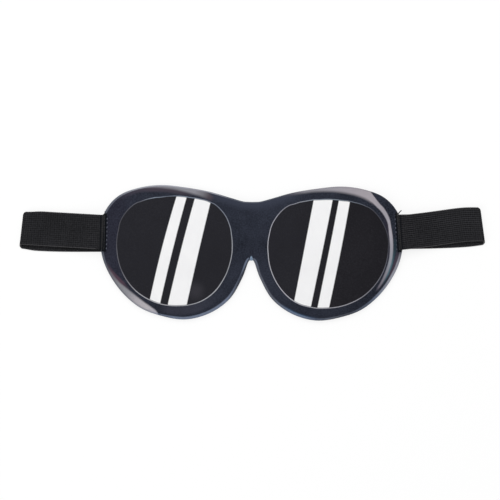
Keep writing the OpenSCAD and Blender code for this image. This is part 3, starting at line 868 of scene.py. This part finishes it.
# ---- Seam and temple stitching -----------------------------------------
# Black polyester thread, 0.3 mm. A lockstitch joins front and lining all round, inside the rim. A row of the same
# stitch holds the hem of each side run on the pad, right through it.
THREAD = 0.3
SEAM_DEPTH, SEAM_ARCH = 0.5, 0.1  # from the upper to the lower thread, and the rise of each upper loop


def thread_paint(bench):
    twist = bench.grain(2600, 1, stretch=(1, 1, 0.3))
    return bench.tint(twist, "#0d0d0f", "#2c2c30"), 0.45 + 0.2 * twist, twist, 0.05


thread = finish("sewing_thread", thread_paint, {"Specular IOR Level": 0.5})


def stitch_tree():
    """Lays lockstitches end to end along a path: a thread above, a thread below and the legs between them."""
    tree, sockets, bench, given = open_tree("lockstitches", Geometry=["Path"], Material=["Finish"],
                                            Float=["Stitch length", "Thread", "Depth", "Arch"])
    path, coat, length, size, depth, arch = given
    low = depth * -1

    def spot(px=0.0, pz=0.0):
        return bench.node("ShaderNodeCombineXYZ", {0: px, 2: pz})

    def bow(steps, height, middle):
        """One thread of a stitch, bent from its start over its middle to its end."""
        return bench.node("GeometryNodeCurveQuadraticBezier",
                          {"Resolution": steps, "Start": spot(0.0, height), "Middle": spot(length / 2, middle),
                           "End": spot(length, height)})

    profile = bench.node("GeometryNodeCurvePrimitiveCircle", {"Resolution": 8, "Radius": size / 2})
    leg = bench.node("GeometryNodeCurvePrimitiveLine", {"Start": spot(), "End": spot(0.0, low)})
    stitch = bench.node("GeometryNodeJoinGeometry")
    for curve in (bow(8, 0.0, arch), bow(6, low, low - arch * 0.3), leg):
        tube = bench.node("GeometryNodeCurveToMesh", {"Curve": curve, "Profile Curve": profile, "Fill Caps": True})
        tree.links.new(tube.socket, stitch.socket.node.inputs[0])
    line = bench.node("GeometryNodeMeshToCurve", {"Mesh": path})
    dots = bench.node("GeometryNodeCurveToPoints", {"Curve": line, "Length": length}, mode="LENGTH").socket.node
    spots, way = (Wire(bench, dots.outputs[label]) for label in ("Points", "Tangent"))
    turn = bench.node("FunctionNodeAlignRotationToVector", {"Vector": way}, axis="X", pivot_axis="Z")
    row = bench.node("GeometryNodeInstanceOnPoints", {"Points": spots, "Instance": stitch, "Rotation": turn})
    close_tree(bench, bench.node("GeometryNodeSetShadeSmooth", {"Geometry": row}), coat)
    return tree, sockets


stitches, stitch_sockets = stitch_tree()


def sewn(name, path, depth, arch, closed=False):
    """A row of stitches along a path of points in millimetres."""
    count = len(path)
    edges = [(k, (k + 1) % count) for k in range(count if closed else count - 1)]
    mesh = bpy.data.meshes.new(name)
    mesh.from_pydata((np.array(path) / 1000).tolist(), edges, [])
    sizes = {"Stitch length": STITCH, "Thread": THREAD, "Depth": depth, "Arch": arch}
    values = {label: size / 1000 for label, size in sizes.items()}
    return grown(placed(name, mesh), stitches, stitch_sockets, {**values, "Finish": thread})


seam_path = ring(FRONT_T + TUCK + THREAD * 0.7, 0, TURN_TOP + THREAD / 2)
seam = sewn("seam_stitches", seam_path, SEAM_DEPTH, SEAM_ARCH, closed=True)
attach(seam, "mask")
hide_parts("seam_thread")


# ---- Side runs of the elastic ------------------------------------------
# Each end of the band is folded under and sewn on the front at the temple as a hem. From there the run goes down
# off the rim and out to the fold, where it meets the back run.
BOW, BOW_LATE = {-1: 0.0, 1: 0.7}, 2.5  # each side run bows up by this on its way, most of it late
GROOVE_LEAN = {-1: 0.6, 1: 4.2}  # lean of the line where the folded-under end stops
HEM_LEN = {-1: 3.5, 1: 3.1}  # from the hem's inner edge to that line
HEM_TIP = {-1: 0.0, 1: 0.8}  # the hem's inner corner sticks up by this
TOP_TAPER, LOW_TAPER = (0.8, 2.2), (2.5, 0.6)  # where the hem starts to narrow above and below, and how far on
HEM_Z = FRONT_TOP - PRESS + RISE + LAYER_GAP + 0.05
HEM_TOP = HEM_Z + 2 * BAND_T
SEWN_TOP = HEM_TOP - 0.2  # the upper thread sinks in by this
RUN_Z = FOLD_Z + FOLD_R
DRAWN_FROM = 0.78  # the upper selvage is drawn in after this share of the way to the fold
DENT_W, GROOVE_W = 0.5, 0.4  # half widths of the dents at the stitching and of the groove at the hem's end
DENT, NEEDLE_DENT, GROOVE = 0.3, 0.3, 0.55  # their depths: all along, at each needle hole, and of the groove
TOOTH_OUT, TOOTH_SIZE = 0.45, 0.75  # the hem's edge lies further out between the holes, less far at them
CARVE_PAST = 2.5  # the carving ends this far past the hem
STITCH_ARCH, TAIL_R = 0.25, 0.38


def tail(stops):
    """A loose end of thread: a round tube through its stops, tapering towards its tip."""
    a, b, c = (np.array(p, float) for p in stops)
    rings = []
    for t in np.linspace(0, 1, 9):
        way = mix(b - a, c - b, t)
        way /= np.linalg.norm(way)
        sideways = np.cross(way, UP)
        sideways /= np.linalg.norm(sideways)
        spot, radius = mix(mix(a, b, t), mix(b, c, t), t), TAIL_R * (1 - 0.3 * t)
        rings.append([spot + (sideways * cos(r) + np.cross(sideways, way) * sin(r)) * radius
                      for r in np.radians(np.arange(0, 360, 45))])
    return net("thread_tail", np.array(rings))


def joined(piece, other):
    """Adds another piece of the same material to a piece."""
    work = bmesh.new()
    work.from_mesh(piece.data)
    work.faces.ensure_lookup_table()
    count, coat = len(work.faces), work.faces[0].material_index
    work.from_mesh(other.data)
    work.faces.ensure_lookup_table()
    for face in work.faces[count:]:
        face.material_index = coat
    work.to_mesh(piece.data)
    work.free()
    bpy.data.objects.remove(other)


def side_run(side, name, node):
    """One side run with its hem and the stitches across it."""
    way, edge_up = outward(side, TILT[side]), upward(side, HEM_LEAN[side])
    start = np.array([side * HEM_X[side], HEM_Y[side], 0])
    nose, length = BAND_T / 2, HEM_LEN[side]

    def hem_stop(s, z, out):
        """The hem is wider than the run, for a shorter way at its top, and its inner edge has its own lean."""
        turned = float(ease((s - BAND_T) / (length - BAND_T)))
        here = upward(side, mix(HEM_LEAN[side], GROOVE_LEAN[side], turned))
        top, low = ((HEM_W - BAND_W) / 2 * (1 - ease((s - at) / reach)) for at, reach in (TOP_TAPER, LOW_TAPER))
        top += HEM_TIP[side] * (1 - ease((s - BAND_T + nose) / nose))
        return start + way * s + here * (top - low) / 2 + [0, 0, z], here, out, BAND_W + top + low

    # under the hem, round its inner edge, and back on top of it
    stops = [hem_stop(s, HEM_Z + nose, DOWN) for s in np.arange(length, BAND_T, -0.3)]
    for a in np.radians(np.arange(270, 89, -15)):
        spoke = way * cos(a) + UP * sin(a)
        stops.append(hem_stop(BAND_T + nose * cos(a), HEM_Z + BAND_T + nose * sin(a), spoke))
    under = len(stops)
    top = HEM_Z + 1.5 * BAND_T
    stops += [hem_stop(s, top, UP) for s in np.arange(BAND_T + 0.2, length + 0.1, 0.2)]
    # out to the fold, down off the rim and round it
    begin, hub = start + way * (length + 0.2), fold_hub(side)
    for share in np.concatenate([np.arange(0, 0.045, 0.005), np.linspace(0.05, 1, 118)]):
        here = upward(side, mix(mix(GROOVE_LEAN[side], TILT[side], ease(share * 16)), SLANT[side], ease(share)))
        drawn_in = TOP_IN[side] * float(ease((share - DRAWN_FROM) / (1 - DRAWN_FROM)))
        mid = mix(begin, hub, share) + here * (BOW[side] * sin(pi * share ** BOW_LATE) - drawn_in / 2)
        mid[2] = mix(top, RUN_Z, ease(share * 1.6))
        stops.append((mid, here, UP, BAND_W - drawn_in))
    stops += [fold_stop(side, a) for a in np.arange(90 - FOLD_STEP, -1, -FOLD_STEP)]
    points, weave = band_points(stops, 119)
    # the stitching draws the hem in at each needle hole, and the run drops behind the folded-under end
    out = np.broadcast_to(np.array([(s[0] - start) @ way for s in stops])[:, None], weave.shape[:2])
    rows = np.arange(len(points))[:, None]
    on_hem = out < length + CARVE_PAST
    along_hem = weave[..., 0] * HEM_W / BAND_W
    hole = np.abs(np.cos(np.pi * (along_hem + STITCH / 2 * (round(HEM_W / STITCH) % 2)) / STITCH))
    press = np.exp(-((out - BAND_T) / DENT_W) ** 2) * (DENT + NEEDLE_DENT * hole ** 4)
    groove = np.exp(-((out - length + 0.1) / GROOVE_W) ** 2) * GROOVE
    points[..., 2] -= np.where((rows >= under - 6) & (weave[..., 2] > -0.5) & on_hem, press + groove, 0)
    teeth = np.clip(1 - out / BAND_T, 0, 1) * (TOOTH_OUT - TOOTH_SIZE * hole ** 2)
    points[..., :2] += np.where(rows < under + 2, teeth, 0)[..., None] * way[:2]
    hem = np.stack([out, out - length, ((rows >= under - 8) & on_hem) * 1.0], -1)
    run = woven(net(name, points, marks={"weave": weave, "hem": hem}))
    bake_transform(run)
    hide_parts(node)
    # stitches across the hem, on top of it and right through the pad
    count = int((HEM_W - 0.84) // STITCH)
    low, high = (start + way * BAND_T + edge_up * (e * count * STITCH / 2) + [0, 0, SEWN_TOP] for e in (-1, 1))
    row = sewn(node.replace("strap", "temple_stitches"), [mix(low, high, t) for t in np.linspace(0, 1, count + 1)],
               SEWN_TOP - RISE - 0.15, STITCH_ARCH)
    if side > 0:
        loose = high + [0, 0, THREAD / 2]
        joined(row, tail([loose, loose + [0.5, 1.7, 0.3], loose + [2.4, 3.3, -0.8]]))
    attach(row, "mask")
    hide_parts(node.replace("strap", "stitching"))


side_run(-1, "elastic_left_run", "strap_left")
side_run(1, "elastic_right_run", "strap_right")


# ---- Table, light and camera -------------------------------------------
# White table under two soft lamps, seen straight from above. The picture is 500 pixels wide, and 303 of them span
# the mask.
SEEN_W = 305.3  # width of the picture at the height of the camera's aim
AIM, CAMERA_UP = (-0.84, 1.76, 3.0), 1400
ROLL = 0.5  # the mask lies turned by this angle, clockwise
SENSOR = 36
SKY = 0.48  # light from all round
# Place and size of each lamp in metres, and its power in watts
LAMPS = {"softbox_over": ((0.0, 0.55, 1.3), 1.1, 12.0), "softbox_low": ((-0.8, -0.5, 0.9), 0.8, 3.5)}


def table_look(bench):
    matt = bench.node("ShaderNodeBsdfDiffuse", {"Color": (0.96, 0.96, 0.96, 1)})
    glow = bench.node("ShaderNodeEmission", {"Color": (1, 1, 1, 1), "Strength": 1.0})
    path = bench.node("ShaderNodeLightPath").socket.node
    seen = Wire(bench, path.outputs["Is Camera Ray"]) + Wire(bench, path.outputs["Is Glossy Ray"])
    return bench.node("ShaderNodeMixShader", {0: seen * 0.8, 1: matt, 2: glow})


bpy.ops.mesh.primitive_plane_add(size=3, location=(0, 0, -0.0001))
table = bpy.context.object
table.name = "table"
table.data.materials.append(surface("white_table", table_look))

world = bpy.data.worlds.new("studio")
world.use_nodes = True
world.node_tree.nodes["Background"].inputs["Color"].default_value = (1, 1, 1, 1)
world.node_tree.nodes["Background"].inputs["Strength"].default_value = SKY
scene.world = world
for name, (place, size, power) in LAMPS.items():
    lamp = bpy.data.lights.new(name, "AREA")
    lamp.size, lamp.energy = size, power
    holder = placed(name, lamp)
    holder.location = place
    holder.rotation_euler = (-Vector(place)).to_track_quat("-Z", "Y").to_euler()

lens = bpy.data.cameras.new("camera")
lens.sensor_width = SENSOR
lens.lens = SENSOR * (CAMERA_UP - AIM[2]) / SEEN_W
camera = placed("camera", lens)
camera.location = (AIM[0] / 1000, AIM[1] / 1000, CAMERA_UP / 1000)
camera.rotation_euler = (0, 0, radians(ROLL))
scene.camera = camera
scene.view_settings.view_transform = "Standard"
